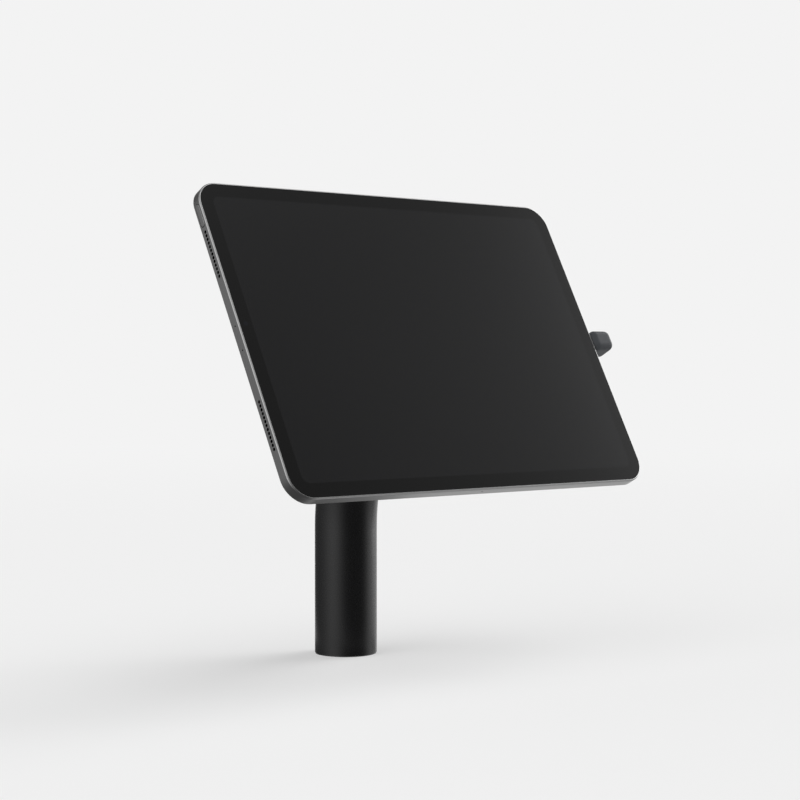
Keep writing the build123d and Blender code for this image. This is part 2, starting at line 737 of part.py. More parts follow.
with BuildPart() as casing:
    with BuildSketch(tablet_plane):
        RectangleRounded(tablet_length, tablet_width, tablet_corner)
    extrude(amount=-tablet_thick)
    fillet(casing.edges().group_by(head_axis)[-1], front_round)
    chamfer(casing.edges().group_by(head_axis)[0], back_chamfer)
    with BuildSketch(tablet_plane):
        RectangleRounded(
            tablet_length - 2 * rim_width,
            tablet_width - 2 * rim_width,
            tablet_corner - rim_width,
        )
    extrude(amount=ledge_z, mode=Mode.SUBTRACT)
    with BuildSketch(tablet_plane):
        RectangleRounded(2 * inner_x, 2 * inner_y, cavity_corner)
    extrude(amount=casing_floor_z, mode=Mode.SUBTRACT)
    for side in (left_side, right_side):
        with BuildSketch(side):
            with Locations((-speaker_centre, 0), (speaker_centre, 0)):
                with GridLocations(speaker_hole_pitch, 0, speaker_hole_count, 1):
                    Circle(speaker_hole_radius)
        extrude(amount=-hole_reach, mode=Mode.SUBTRACT)
    with BuildSketch(left_side):
        with GridLocations(mic_spacing, 0, 2, 1):
            Circle(mic_hole_radius)
    extrude(amount=-hole_reach, mode=Mode.SUBTRACT)
    with BuildSketch(bottom_side):
        Circle(mic_hole_radius)
    extrude(amount=-hole_reach, mode=Mode.SUBTRACT)
    with BuildSketch(right_side):
        SlotOverall(receptacle_outer_width, receptacle_outer_height)
    extrude(amount=-hole_reach, mode=Mode.SUBTRACT)
    with BuildSketch(left_side):
        with Locations((power_centre, 0)):
            SlotOverall(
                power_length + 2 * button_clearance, button_width + 2 * button_clearance
            )
    extrude(amount=-hole_reach, mode=Mode.SUBTRACT)
    with BuildSketch(top_side):
        with Locations(*[(centre, 0) for centre in volume_centres]):
            SlotOverall(
                volume_length + 2 * button_clearance, button_width + 2 * button_clearance
            )
    extrude(amount=-hole_reach, mode=Mode.SUBTRACT)
    with BuildSketch(tablet_plane.offset(-tablet_thick)):
        with Locations((camera_x, camera_y)):
            Circle(rear_barrel_radius + rear_barrel_clearance)
        with Locations((camera_x + flash_spacing, camera_y)):
            Circle(flash_radius)
    extrude(amount=casing_back, mode=Mode.SUBTRACT)
casing.part.label = "casing"
export_step(casing.part, "parts/casing.step")

glass_inset = rim_width + glass_gap
with BuildPart() as cover_glass:
    with BuildSketch(tablet_plane.offset(-glass_recess)):
        RectangleRounded(
            tablet_length - 2 * glass_inset,
            tablet_width - 2 * glass_inset,
            tablet_corner - glass_inset,
        )
    extrude(amount=-glass_thick)
    chamfer(cover_glass.edges().group_by(head_axis)[-1], glass_chamfer)
cover_glass.part.label = "cover_glass"
export_step(cover_glass.part, "parts/cover_glass.step")

with BuildPart() as display_seal:
    with BuildSketch(tablet_plane.offset(glass_back_z)):
        RectangleRounded(
            tablet_length - 2 * glass_inset,
            tablet_width - 2 * glass_inset,
            tablet_corner - glass_inset,
        )
        RectangleRounded(2 * inner_x, 2 * inner_y, cavity_corner, mode=Mode.SUBTRACT)
    extrude(amount=-seal_thick)
display_seal.part.label = "display_seal"
export_step(display_seal.part, "parts/display_seal.step")

with BuildPart() as display_panel:
    with BuildSketch(tablet_plane.offset(glass_back_z)):
        RectangleRounded(
            tablet_length - 2 * display_margin,
            tablet_width - 2 * display_margin,
            display_corner,
        )
    extrude(amount=-display_thick)
display_panel.part.label = "display_panel"
export_step(display_panel.part, "parts/display_panel.step")

# What lies on the casing's floor
floor_plane = tablet_plane.offset(casing_floor_z)
battery_inner_x = board_width / 2 + board_gap
battery_outer_x = inner_x - inner_gap - speaker_size[0] - battery_side_gap
battery_x = (battery_inner_x + battery_outer_x) / 2
battery_width = battery_outer_x - battery_inner_x
battery_length = 2 * (inner_y - battery_end_gap)
board_length = 2 * (inner_y - board_end_gap)
for name, side_sign in (("battery_left", -1), ("battery_right", 1)):
    with BuildPart() as battery:
        with BuildSketch(floor_plane):
            with Locations((side_sign * battery_x, 0)):
                RectangleRounded(battery_width, battery_length, battery_corner)
        extrude(amount=battery_thick)
    battery.part.label = name
    export_step(battery.part, f"parts/{name}.step")

with BuildPart() as logic_board:
    with BuildSketch(floor_plane):
        Rectangle(board_width, board_length)
    extrude(amount=board_thick)
logic_board.part.label = "logic_board"
export_step(logic_board.part, "parts/logic_board.step")

with BuildPart() as shield_can:
    with BuildSketch(floor_plane.offset(board_thick)):
        RectangleRounded(board_width - 2 * can_margin, can_length, can_corner)
    extrude(amount=can_thick)
shield_can.part.label = "shield_can"
export_step(shield_can.part, "parts/shield_can.step")

speaker_x = inner_x - inner_gap - speaker_size[0] / 2
for name, x_sign, y_sign in (
    ("speaker_upper_left", -1, 1),
    ("speaker_lower_left", -1, -1),
    ("speaker_upper_right", 1, 1),
    ("speaker_lower_right", 1, -1),
):
    with BuildPart() as speaker:
        with BuildSketch(floor_plane):
            with Locations((x_sign * speaker_x, y_sign * speaker_centre)):
                RectangleRounded(speaker_size[0], speaker_size[1], speaker_corner)
        extrude(amount=speaker_size[2])
    speaker.part.label = name
    export_step(speaker.part, f"parts/{name}.step")

with BuildPart() as microphones:
    for side, spots in ((left_side, (-mic_spacing / 2, mic_spacing / 2)), (bottom_side, (0,))):
        with BuildSketch(side.offset(-casing_wall)):
            with Locations(*[(spot, 0) for spot in spots]):
                Rectangle(mic_size[0], mic_size[2])
        extrude(amount=-mic_size[1])
microphones.part.label = "microphones"
export_step(microphones.part, "parts/microphones.step")

with BuildPart() as port_receptacle:
    with BuildSketch(right_side.offset(-receptacle_recess)):
        SlotOverall(receptacle_outer_width, receptacle_outer_height)
    extrude(amount=-receptacle_length)
    with BuildSketch(right_side.offset(-receptacle_recess)):
        SlotOverall(port_width, port_height)
    extrude(amount=-(receptacle_length - receptacle_wall), mode=Mode.SUBTRACT)
    with BuildSketch(right_side.offset(-receptacle_recess - receptacle_length)):
        Rectangle(tongue_width, tongue_thick)
    extrude(amount=receptacle_wall + tongue_length)
port_receptacle.part.label = "port_receptacle"
export_step(port_receptacle.part, "parts/port_receptacle.step")

with BuildPart() as front_camera:
    with BuildSketch(tablet_plane.offset(glass_back_z)):
        with Locations((-edge_x + front_camera_offset, front_camera_rise)):
            Circle(front_camera_radius)
    extrude(amount=-front_camera_depth)
front_camera.part.label = "front_camera"
export_step(front_camera.part, "parts/front_camera.step")

with BuildPart() as rear_camera:
    with BuildSketch(floor_plane):
        with Locations((camera_x, camera_y)):
            RectangleRounded(rear_camera_size, rear_camera_size, rear_camera_corner)
    extrude(amount=rear_camera_height)
    with BuildSketch(floor_plane):
        with Locations((camera_x, camera_y)):
            Circle(rear_barrel_radius)
    extrude(amount=-(casing_back + rear_barrel_stand_out))
rear_camera.part.label = "rear_camera"
export_step(rear_camera.part, "parts/rear_camera.step")

with BuildPart() as rear_camera_ring:
    with BuildSketch(tablet_plane.offset(-tablet_thick)):
        with Locations((camera_x, camera_y)):
            Circle(rear_ring_radius)
            Circle(rear_ring_radius - rear_ring_wall, mode=Mode.SUBTRACT)
    extrude(amount=-rear_ring_height)
    chamfer(rear_camera_ring.edges().group_by(head_axis)[0], rear_ring_chamfer)
rear_camera_ring.part.label = "rear_camera_ring"
export_step(rear_camera_ring.part, "parts/rear_camera_ring.step")

with BuildPart() as rear_camera_lens:
    with BuildSketch(
        tablet_plane.offset(-tablet_thick - rear_ring_height + rear_lens_recess)
    ):
        with Locations((camera_x, camera_y)):
            Circle(rear_ring_radius - rear_ring_wall - face_gap)
    extrude(amount=rear_lens_thick)
rear_camera_lens.part.label = "rear_camera_lens"
export_step(rear_camera_lens.part, "parts/rear_camera_lens.step")

with BuildPart() as flash_lamp:
    with BuildSketch(tablet_plane.offset(-tablet_thick)):
        with Locations((camera_x + flash_spacing, camera_y)):
            Circle(flash_radius - face_gap)
    extrude(amount=casing_back + flash_inner_height)
flash_lamp.part.label = "flash_lamp"
export_step(flash_lamp.part, "parts/flash_lamp.step")

# Buttons: each slides through its slot and ends just short of its switch when pressed
button_length = button_stand_out + casing_wall - button_travel - face_gap
for name, side, centre, length in (
    ("power_button", left_side, power_centre, power_length),
    ("volume_up_button", top_side, volume_centres[0], volume_length),
    ("volume_down_button", top_side, volume_centres[1], volume_length),
):
    with BuildPart() as button:
        with BuildSketch(side.offset(button_stand_out)):
            with Locations((centre, 0)):
                SlotOverall(length, button_width)
        extrude(amount=-button_length)
        button_rim = button.faces().sort_by(Axis(side.origin, side.z_dir))[-1].edges()
        chamfer(button_rim, button_chamfer)
    button.part.label = name
    export_step(button.part, f"parts/{name}.step")

with BuildPart() as button_switches:
    for side, centre, length in (
        (left_side, power_centre, power_length),
        (top_side, volume_centres[0], volume_length),
        (top_side, volume_centres[1], volume_length),
    ):
        with BuildSketch(side.offset(-casing_wall)):
            with Locations((centre, 0)):
                Rectangle(length + switch_overlap, switch_width)
        extrude(amount=-switch_thick)
button_switches.part.label = "button_switches"
export_step(button_switches.part, "parts/button_switches.step")
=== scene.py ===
import json
import math

import bpy
import numpy as np
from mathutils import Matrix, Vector


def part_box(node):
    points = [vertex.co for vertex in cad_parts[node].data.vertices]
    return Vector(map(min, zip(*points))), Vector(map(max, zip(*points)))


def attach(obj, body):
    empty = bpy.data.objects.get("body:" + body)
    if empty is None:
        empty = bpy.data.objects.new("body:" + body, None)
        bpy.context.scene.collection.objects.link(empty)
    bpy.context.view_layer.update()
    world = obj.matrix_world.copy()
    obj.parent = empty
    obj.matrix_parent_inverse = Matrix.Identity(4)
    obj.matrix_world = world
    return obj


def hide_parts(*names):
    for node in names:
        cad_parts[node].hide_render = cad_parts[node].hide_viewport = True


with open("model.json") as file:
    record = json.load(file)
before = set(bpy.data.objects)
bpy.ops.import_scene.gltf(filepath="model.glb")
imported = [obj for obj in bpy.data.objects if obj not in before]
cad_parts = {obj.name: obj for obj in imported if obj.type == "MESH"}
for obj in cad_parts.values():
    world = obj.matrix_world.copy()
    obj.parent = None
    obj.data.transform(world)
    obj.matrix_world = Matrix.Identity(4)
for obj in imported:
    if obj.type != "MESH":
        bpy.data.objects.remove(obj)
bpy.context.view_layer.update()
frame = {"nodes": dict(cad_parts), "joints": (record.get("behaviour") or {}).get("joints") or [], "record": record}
nodes = frame["nodes"]
joints = {joint["name"]: joint for joint in frame["joints"]}
slot_of = {part["node"]: part["material_slot"] for part in frame["record"]["subparts"]}

MM = 0.001

# The head's own directions, read from the joint that turns the tablet: outward leaves the glass,
# upward climbs the tablet and across runs to its right edge
mouth = np.array(joints["tablet_turn"]["pos_m"])
outward = np.array(joints["tablet_turn"]["axis"])
across = np.array((1.0, 0.0, 0.0))
upward = np.cross(outward, across)
head_tilt = math.atan2(-outward[1], outward[2])


def span(node, direction, origin):
    """Lowest and highest reach of a CAD node along a direction, measured from a point."""
    points = np.empty(len(nodes[node].data.vertices) * 3)
    nodes[node].data.vertices.foreach_get("co", points)
    along = (points.reshape(-1, 3) - origin) @ direction
    return along.min(), along.max()


glass_front = span("cover_glass", outward, mouth)[1]
glass_centre = mouth + outward * glass_front
glass_half_x = span("cover_glass", across, glass_centre)[1]
glass_half_y = span("cover_glass", upward, glass_centre)[1]


# Camera, where the photograph was taken from
camera_place = (-0.6548, -0.81257, 0.1622)
camera_heading = math.radians(40.54)
camera_dip = math.radians(1.082)
camera_lens = 83.36
camera_sensor = 36.0


def make_camera():
    """A level camera: it looks along a heading turned from +Y towards +X, a little downwards."""
    data = bpy.data.cameras.new("camera")
    data.lens = camera_lens
    data.sensor_width = camera_sensor
    data.clip_start = 0.01
    data.clip_end = 100.0
    camera = bpy.data.objects.new("camera", data)
    bpy.context.scene.collection.objects.link(camera)
    looks = Vector(
        (
            math.sin(camera_heading) * math.cos(camera_dip),
            math.cos(camera_heading) * math.cos(camera_dip),
            -math.sin(camera_dip),
        )
    )
    camera.location = camera_place
    camera.rotation_mode = "QUATERNION"
    camera.rotation_quaternion = looks.to_track_quat("-Z", "Y")
    bpy.context.scene.camera = camera


# Node tools
def linear(code):
    """A colour written in sRGB hex, as linear red, green, blue and a full alpha."""
    parts = [int(code[i : i + 2], 16) / 255 for i in (1, 3, 5)]
    return (*[c / 12.92 if c <= 0.04045 else ((c + 0.055) / 1.055) ** 2.4 for c in parts], 1.0)


def add(tree, kind, sockets=None, **settings):
    """Adds one node: settings are its properties, and sockets its inputs' values or links."""
    node = tree.nodes.new(kind)
    for name, value in settings.items():
        setattr(node, name, value)
    for name, value in (sockets or {}).items():
        if isinstance(value, bpy.types.NodeSocket):
            tree.links.new(value, node.inputs[name])
        else:
            node.inputs[name].default_value = value
    return node


def begin(name):
    """An empty material, its tree and the object coordinates that its patterns lie on."""
    made = bpy.data.materials.new(name)
    made.use_nodes = True
    made.node_tree.nodes.clear()
    place = add(made.node_tree, "ShaderNodeTexCoord").outputs["Object"]
    return made, made.node_tree, place


def close(tree, **sockets):
    """The Principled shader with its sockets' values or links, wired to the output."""
    named = {name.replace("_", " "): value for name, value in sockets.items()}
    shader = add(tree, "ShaderNodeBsdfPrincipled", named)
    add(tree, "ShaderNodeOutputMaterial", {"Surface": shader.outputs["BSDF"]})


def wave_scale(spacing):
    """The Wave texture's Scale for waves that lie this far apart."""
    radians_per_unit = 20  # at a Scale of 1, fixed in the texture
    return 2 * math.pi / (radians_per_unit * spacing)


def head_coordinates(tree, place, origin):
    """Object coordinates turned so that X, Y and Z run across, up and out of the tablet."""
    turned = add(
        tree,
        "ShaderNodeMapping",
        {"Vector": place, "Location": origin, "Rotation": (head_tilt, 0.0, 0.0)},
        vector_type="TEXTURE",
    )
    return turned.outputs["Vector"]


def off_axis(tree, place, middle):
    """Head coordinates about a point, and the distance from the axis that runs out through it."""
    local = head_coordinates(tree, place, middle)
    flat = add(
        tree, "ShaderNodeVectorMath", {0: local, 1: (1.0, 1.0, 0.0)}, operation="MULTIPLY"
    )
    away = add(tree, "ShaderNodeVectorMath", {0: flat.outputs["Vector"]}, operation="LENGTH")
    return local, away.outputs["Value"]


def past_straights(tree, local, half_x, half_y, corner):
    """What is left of |x| and |y| past a rectangle's half size less its corner radius."""
    flat = add(
        tree,
        "ShaderNodeVectorMath",
        {0: local, 1: (1.0, 1.0, 0.0)},
        operation="MULTIPLY",
    )
    folded = add(
        tree, "ShaderNodeVectorMath", {0: flat.outputs["Vector"]}, operation="ABSOLUTE"
    )
    past = add(
        tree,
        "ShaderNodeVectorMath",
        {0: folded.outputs["Vector"], 1: (half_x - corner, half_y - corner, 0.0)},
        operation="SUBTRACT",
    )
    kept = add(
        tree,
        "ShaderNodeVectorMath",
        {0: past.outputs["Vector"], 1: (0.0, 0.0, 0.0)},
        operation="MAXIMUM",
    )
    return kept.outputs["Vector"]


def rounded_field(tree, past):
    """Distance from a rectangle's inner skeleton: under the corner radius inside its rounded
    outline. It is the length of what is left past the straights."""
    distance = add(tree, "ShaderNodeVectorMath", {0: past}, operation="LENGTH")
    return distance.outputs["Value"]


# Metals
def powder_coated_steel():
    """Fine satin black powder coat on steel tube: a faint orange peel breaks up the soft
    reflections."""
    peel = 1.4 * MM
    made, tree, place = begin("powder_coated_steel")
    grain = add(tree, "ShaderNodeTexNoise", {"Vector": place, "Scale": 1 / peel, "Detail": 3.0})
    sheen = add(
        tree,
        "ShaderNodeMapRange",
        {"Value": grain.outputs["Fac"], "To Min": 0.255, "To Max": 0.285},
    )
    tone = add(
        tree,
        "ShaderNodeMix",
        {
            "Factor": grain.outputs["Fac"],
            "A": linear("#0c0c0d"),
            "B": linear("#101011"),
        },
        data_type="RGBA",
    )
    bump = add(
        tree,
        "ShaderNodeBump",
        {"Height": grain.outputs["Fac"], "Strength": 0.02, "Distance": 0.01 * MM},
    )
    close(
        tree,
        Base_Color=tone.outputs["Result"],
        Roughness=sheen.outputs["Result"],
        Specular_IOR_Level=0.4,
        Normal=bump.outputs["Normal"],
    )
    return made


def blasted_anodised_aluminium():
    """Milled aluminium, bead blasted and anodised grey: an even satin with a very fine grain. The
    walls of its drilled holes and button slots are painted nearly black: painted shade in these recesses."""
    bead = 0.35 * MM  # real blasting grain is about 0.1 mm, drawn coarser to show
    corner = 13.3 * MM  # of the casing's outline
    skin_depth = 0.05 * MM  # deeper than this below the outer side counts as a hole's wall
    hole_half = 1.85 * MM  # half the height of the band that holds the holes and slots
    casing_half_x = span("casing", across, glass_centre)[1]
    casing_half_y = span("casing", upward, glass_centre)[1]
    casing_back = span("casing", outward, glass_centre)[0]
    made, tree, place = begin("blasted_anodised_aluminium")
    local = head_coordinates(tree, place, glass_centre + outward * casing_back / 2)
    past = past_straights(tree, local, casing_half_x, casing_half_y, corner)
    field = rounded_field(tree, past)
    inside = add(
        tree, "ShaderNodeMath", {0: field, 1: corner - skin_depth}, operation="LESS_THAN"
    )
    sides = add(tree, "ShaderNodeSeparateXYZ", {"Vector": past})
    both = add(
        tree,
        "ShaderNodeMath",
        {0: sides.outputs["X"], 1: sides.outputs["Y"]},
        operation="MINIMUM",
    )
    straight = add(
        tree,
        "ShaderNodeMath",
        {0: both.outputs["Value"], 1: skin_depth},
        operation="LESS_THAN",
    )
    height = add(tree, "ShaderNodeSeparateXYZ", {"Vector": local})
    off_middle = add(
        tree, "ShaderNodeMath", {0: height.outputs["Z"]}, operation="ABSOLUTE"
    )
    level = add(
        tree,
        "ShaderNodeMath",
        {0: off_middle.outputs["Value"], 1: hole_half},
        operation="LESS_THAN",
    )
    deep = add(
        tree,
        "ShaderNodeMath",
        {0: inside.outputs["Value"], 1: straight.outputs["Value"]},
        operation="MULTIPLY",
    )
    painted_hole_shade = add(
        tree,
        "ShaderNodeMath",
        {0: deep.outputs["Value"], 1: level.outputs["Value"]},
        operation="MULTIPLY",
    )
    grain = add(tree, "ShaderNodeTexNoise", {"Vector": place, "Scale": 1 / bead, "Detail": 4.0})
    tone = add(
        tree,
        "ShaderNodeMix",
        {
            "Factor": grain.outputs["Fac"],
            "A": linear("#909090"),
            "B": linear("#989898"),
        },
        data_type="RGBA",
    )
    # painted shade: below the outer side, the walls of holes and slots are coloured near black to stand in for the
    # shade inside them
    colour = add(
        tree,
        "ShaderNodeMix",
        {
            "Factor": painted_hole_shade.outputs["Value"],
            "A": tone.outputs["Result"],
            "B": linear("#080808"),
        },
        data_type="RGBA",
    )
    bump = add(
        tree,
        "ShaderNodeBump",
        {"Height": grain.outputs["Fac"], "Strength": 0.1, "Distance": 0.01 * MM},
    )
    close(
        tree,
        Base_Color=colour.outputs["Result"],
        Metallic=1.0,
        Roughness=0.28,
        Normal=bump.outputs["Normal"],
    )
    return made


def turned_aluminium(name, origin, tilt):
    """Plain aluminium off the lathe: bright, with fine feed rings round its own axis."""
    feed = 0.3 * MM
    made, tree, place = begin(name)
    turned = add(
        tree,
        "ShaderNodeMapping",
        {"Vector": place, "Location": origin, "Rotation": (tilt, 0.0, 0.0)},
        vector_type="TEXTURE",
    )
    rings = add(
        tree,
        "ShaderNodeTexWave",
        {
            "Vector": turned.outputs["Vector"],
            "Scale": wave_scale(feed),
            "Distortion": 0.4,
        },
        wave_type="RINGS",
        rings_direction="Z",
    )
    bump = add(
        tree,
        "ShaderNodeBump",
        {"Height": rings.outputs["Fac"], "Strength": 0.25, "Distance": 0.02 * MM},
    )
    sheen = add(
        tree,
        "ShaderNodeMapRange",
        {"Value": rings.outputs["Fac"], "To Min": 0.24, "To Max": 0.34},
    )
    close(
        tree,
        Base_Color=linear("#c3c5c8"),
        Metallic=1.0,
        Roughness=sheen.outputs["Result"],
        Normal=bump.outputs["Normal"],
    )
    return made


def zinc_plated_steel():
    """Clear zinc on steel: a cool bright metal with a faint cloudy yellow bloom."""
    cloud = 4.0 * MM
    made, tree, place = begin("zinc_plated_steel")
    bloom = add(tree, "ShaderNodeTexNoise", {"Vector": place, "Scale": 1 / cloud, "Detail": 5.0})
    tone = add(
        tree,
        "ShaderNodeMix",
        {
            "Factor": bloom.outputs["Fac"],
            "A": linear("#9ea4ab"),
            "B": linear("#b3b0a2"),
        },
        data_type="RGBA",
    )
    sheen = add(
        tree,
        "ShaderNodeMapRange",
        {"Value": bloom.outputs["Fac"], "To Min": 0.26, "To Max": 0.42},
    )
    close(
        tree,
        Base_Color=tone.outputs["Result"],
        Metallic=1.0,
        Roughness=sheen.outputs["Result"],
    )
    return made


def drawn_nickel_steel():
    """Deep-drawn connector shell, nickel plated: bright, with draw lines along the plug."""
    line = 0.12 * MM
    squeeze = 0.02  # draws each line 50 times as long as it is wide
    made, tree, place = begin("drawn_nickel_steel")
    stretched = add(
        tree,
        "ShaderNodeMapping",
        {"Vector": place, "Scale": (squeeze, 1.0, 1.0)},
    )
    lines = add(
        tree,
        "ShaderNodeTexNoise",
        {"Vector": stretched.outputs["Vector"], "Scale": 1 / line, "Detail": 2.0},
    )
    sheen = add(
        tree,
        "ShaderNodeMapRange",
        {"Value": lines.outputs["Fac"], "To Min": 0.14, "To Max": 0.3},
    )
    close(
        tree,
        Base_Color=linear("#c9c6c0"),
        Metallic=1.0,
        Roughness=sheen.outputs["Result"],
    )
    return made


# Plastics, foam and boards
def satin_plastic(name, code, roughness, grain_size, shine=0.5):
    """Moulded plastic: one colour through and through, with a fine spark-eroded mould grain."""
    spread = 0.04
    made, tree, place = begin(name)
    grain = add(
        tree, "ShaderNodeTexNoise", {"Vector": place, "Scale": 1 / grain_size, "Detail": 3.0}
    )
    sheen = add(
        tree,
        "ShaderNodeMapRange",
        {
            "Value": grain.outputs["Fac"],
            "To Min": roughness - spread,
            "To Max": roughness + spread,
        },
    )
    bump = add(
        tree,
        "ShaderNodeBump",
        {"Height": grain.outputs["Fac"], "Strength": 0.12, "Distance": 0.02 * MM},
    )
    close(
        tree,
        Base_Color=linear(code),
        Roughness=sheen.outputs["Result"],
        Specular_IOR_Level=shine,
        Normal=bump.outputs["Normal"],
    )
    return made


def closed_cell_foam():
    """Black acrylic foam tape: matt, its cut edge pitted by small closed cells."""
    cell = 0.35 * MM
    made, tree, place = begin("acrylic_foam_tape")
    cells = add(tree, "ShaderNodeTexVoronoi", {"Vector": place, "Scale": 1 / cell})
    tone = add(
        tree,
        "ShaderNodeMix",
        {
            "Factor": cells.outputs["Distance"],
            "A": linear("#0e0e0e"),
            "B": linear("#1e1e1f"),
        },
        data_type="RGBA",
    )
    bump = add(
        tree,
        "ShaderNodeBump",
        {"Height": cells.outputs["Distance"], "Strength": 0.5, "Distance": 0.1 * MM},
    )
    close(
        tree,
        Base_Color=tone.outputs["Result"],
        Roughness=0.85,
        Normal=bump.outputs["Normal"],
    )
    return made


def laminated_foil():
    """Black laminated pouch foil: a dull metal sheen with shallow dents."""
    dent = 9.0 * MM
    made, tree, place = begin("laminated_pouch_foil")
    dents = add(tree, "ShaderNodeTexNoise", {"Vector": place, "Scale": 1 / dent, "Detail": 4.0})
    bump = add(
        tree,
        "ShaderNodeBump",
        {"Height": dents.outputs["Fac"], "Strength": 0.3, "Distance": 0.4 * MM},
    )
    close(
        tree,
        Base_Color=linear("#3a3a3d"),
        Metallic=0.6,
        Roughness=0.42,
        Normal=bump.outputs["Normal"],
    )
    return made


def solder_masked_board():
    """Glass-epoxy board under dark green solder mask: rows of small copper pads show through."""
    pitch = 2.0 * MM
    made, tree, place = begin("solder_masked_laminate")
    local = head_coordinates(tree, place, glass_centre)
    pads = add(
        tree,
        "ShaderNodeTexBrick",
        {
            "Vector": local,
            "Color1": linear("#0f3a22"),
            "Color2": linear("#12452a"),
            "Mortar": linear("#8a6f3a"),
            "Scale": 1 / pitch,
            "Mortar Size": 0.02,
            "Brick Width": 1.5,
            "Row Height": 1.0,
        },
    )
    close(tree, Base_Color=pads.outputs["Color"], Roughness=0.4)
    return made


# Glass
def coated_cover_glass():
    """Strengthened cover glass, coated against reflections: black ink behind its border, and the
    unlit display, a touch greyer, behind the rest. The small eye is the front camera."""
    border = 7.6 * MM
    corner = 4.5 * MM
    edge = 0.25 * MM
    eye_radius = 1.3 * MM
    eye_inset = 3.6 * MM
    eye_rise = 6.8 * MM
    made, tree, place = begin("coated_cover_glass")
    local = head_coordinates(tree, place, glass_centre)
    half_x, half_y = glass_half_x - border, glass_half_y - border
    field = rounded_field(tree, past_straights(tree, local, half_x, half_y, corner))
    inside = add(
        tree,
        "ShaderNodeMapRange",
        {
            "Value": field,
            "From Min": corner - edge,
            "From Max": corner + edge,
            "To Min": 1.0,
            "To Max": 0.0,
        },
        interpolation_type="SMOOTHSTEP",
    )
    ink = add(
        tree,
        "ShaderNodeMix",
        {
            "Factor": inside.outputs["Result"],
            "A": linear("#030303"),
            "B": linear("#131314"),
        },
        data_type="RGBA",
    )
    eye_place = (-glass_half_x + eye_inset, eye_rise, 0.0)
    to_eye = add(tree, "ShaderNodeVectorMath", {0: local, 1: eye_place}, operation="DISTANCE")
    eye = add(
        tree,
        "ShaderNodeMapRange",
        {
            "Value": to_eye.outputs["Value"],
            "From Min": eye_radius - edge,
            "From Max": eye_radius + edge,
            "To Min": 1.0,
            "To Max": 0.0,
        },
    )
    colour = add(
        tree,
        "ShaderNodeMix",
        {
            "Factor": eye.outputs["Result"],
            "A": ink.outputs["Result"],
            "B": linear("#0b0c12"),
        },
        data_type="RGBA",
    )
    close(
        tree,
        Base_Color=colour.outputs["Result"],
        Roughness=0.08,
        Specular_IOR_Level=0.27,
        IOR=1.5,
    )
    return made


def display_layers():
    """The unlit display's stack behind the glass: dark, smooth and faintly blue."""
    band = 1.5 * MM
    made, tree, place = begin("display_layers")
    local = head_coordinates(tree, place, glass_centre)
    rows = add(
        tree,
        "ShaderNodeTexWave",
        {"Vector": local, "Scale": wave_scale(band)},
        bands_direction="Y",
    )
    sheen = add(
        tree,
        "ShaderNodeMapRange",
        {"Value": rows.outputs["Fac"], "To Min": 0.18, "To Max": 0.24},
    )
    close(tree, Base_Color=linear("#101014"), Roughness=sheen.outputs["Result"])
    return made


def lens_glass():
    """Coated lens glass over a stepped black barrel: a deep violet pupil, which is a painted reflection of
    the coating, behind a pale iris edge, and the edges of two barrel steps round it."""
    reach = 5.0 * MM
    bands = (
        # the violet tint of the first two stops is a painted reflection of the lens coating
        (0.0, "#050409"),
        (1.15, "#0b0816"),
        (1.3, "#34303f"),
        (1.45, "#0c0c0e"),
        (2.6, "#0a0a0c"),
        (2.7, "#2a2a2e"),
        (2.85, "#0b0b0c"),
        (3.9, "#080809"),
        (4.0, "#1d1d20"),
        (4.15, "#070708"),
    )
    made, tree, place = begin("coated_lens_glass")
    low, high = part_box("rear_camera_lens")
    away = off_axis(tree, place, (low + high) / 2)[1]
    share = add(tree, "ShaderNodeMath", {0: away, 1: reach}, operation="DIVIDE")
    tone = add(tree, "ShaderNodeValToRGB", {"Fac": share.outputs["Value"]})
    stops = tone.color_ramp.elements
    while len(stops) < len(bands):
        stops.new(1.0)
    for stop, (radius, code) in zip(stops, bands):
        stop.position = radius * MM / reach
        stop.color = linear(code)
    close(tree, Base_Color=tone.outputs["Color"], Roughness=0.04, Coat_Weight=0.5)
    return made


def lamp_diffuser():
    """The flash lamp's moulded lens: clear over a pale yellow phosphor, in fine stepped rings."""
    step = 0.35 * MM
    phosphor = 0.8 * MM
    blur = 0.16 * MM
    made, tree, place = begin("stepped_lamp_lens")
    low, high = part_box("flash_lamp")
    local, away = off_axis(tree, place, (low + high) / 2)
    glow = add(
        tree,
        "ShaderNodeMapRange",
        {
            "Value": away,
            "From Min": phosphor - blur,
            "From Max": phosphor + blur,
            "To Min": 1.0,
            "To Max": 0.0,
        },
    )
    tone = add(
        tree,
        "ShaderNodeMix",
        {
            "Factor": glow.outputs["Result"],
            "A": linear("#c9c6bb"),
            "B": linear("#d8c46a"),
        },
        data_type="RGBA",
    )
    rings = add(
        tree,
        "ShaderNodeTexWave",
        {"Vector": local, "Scale": wave_scale(step)},
        wave_type="RINGS",
        rings_direction="Z",
        wave_profile="SAW",
    )
    bump = add(
        tree,
        "ShaderNodeBump",
        {"Height": rings.outputs["Fac"], "Strength": 0.6, "Distance": 0.05 * MM},
    )
    close(
        tree,
        Base_Color=tone.outputs["Result"],
        Roughness=0.15,
        Normal=bump.outputs["Normal"],
    )
    return made


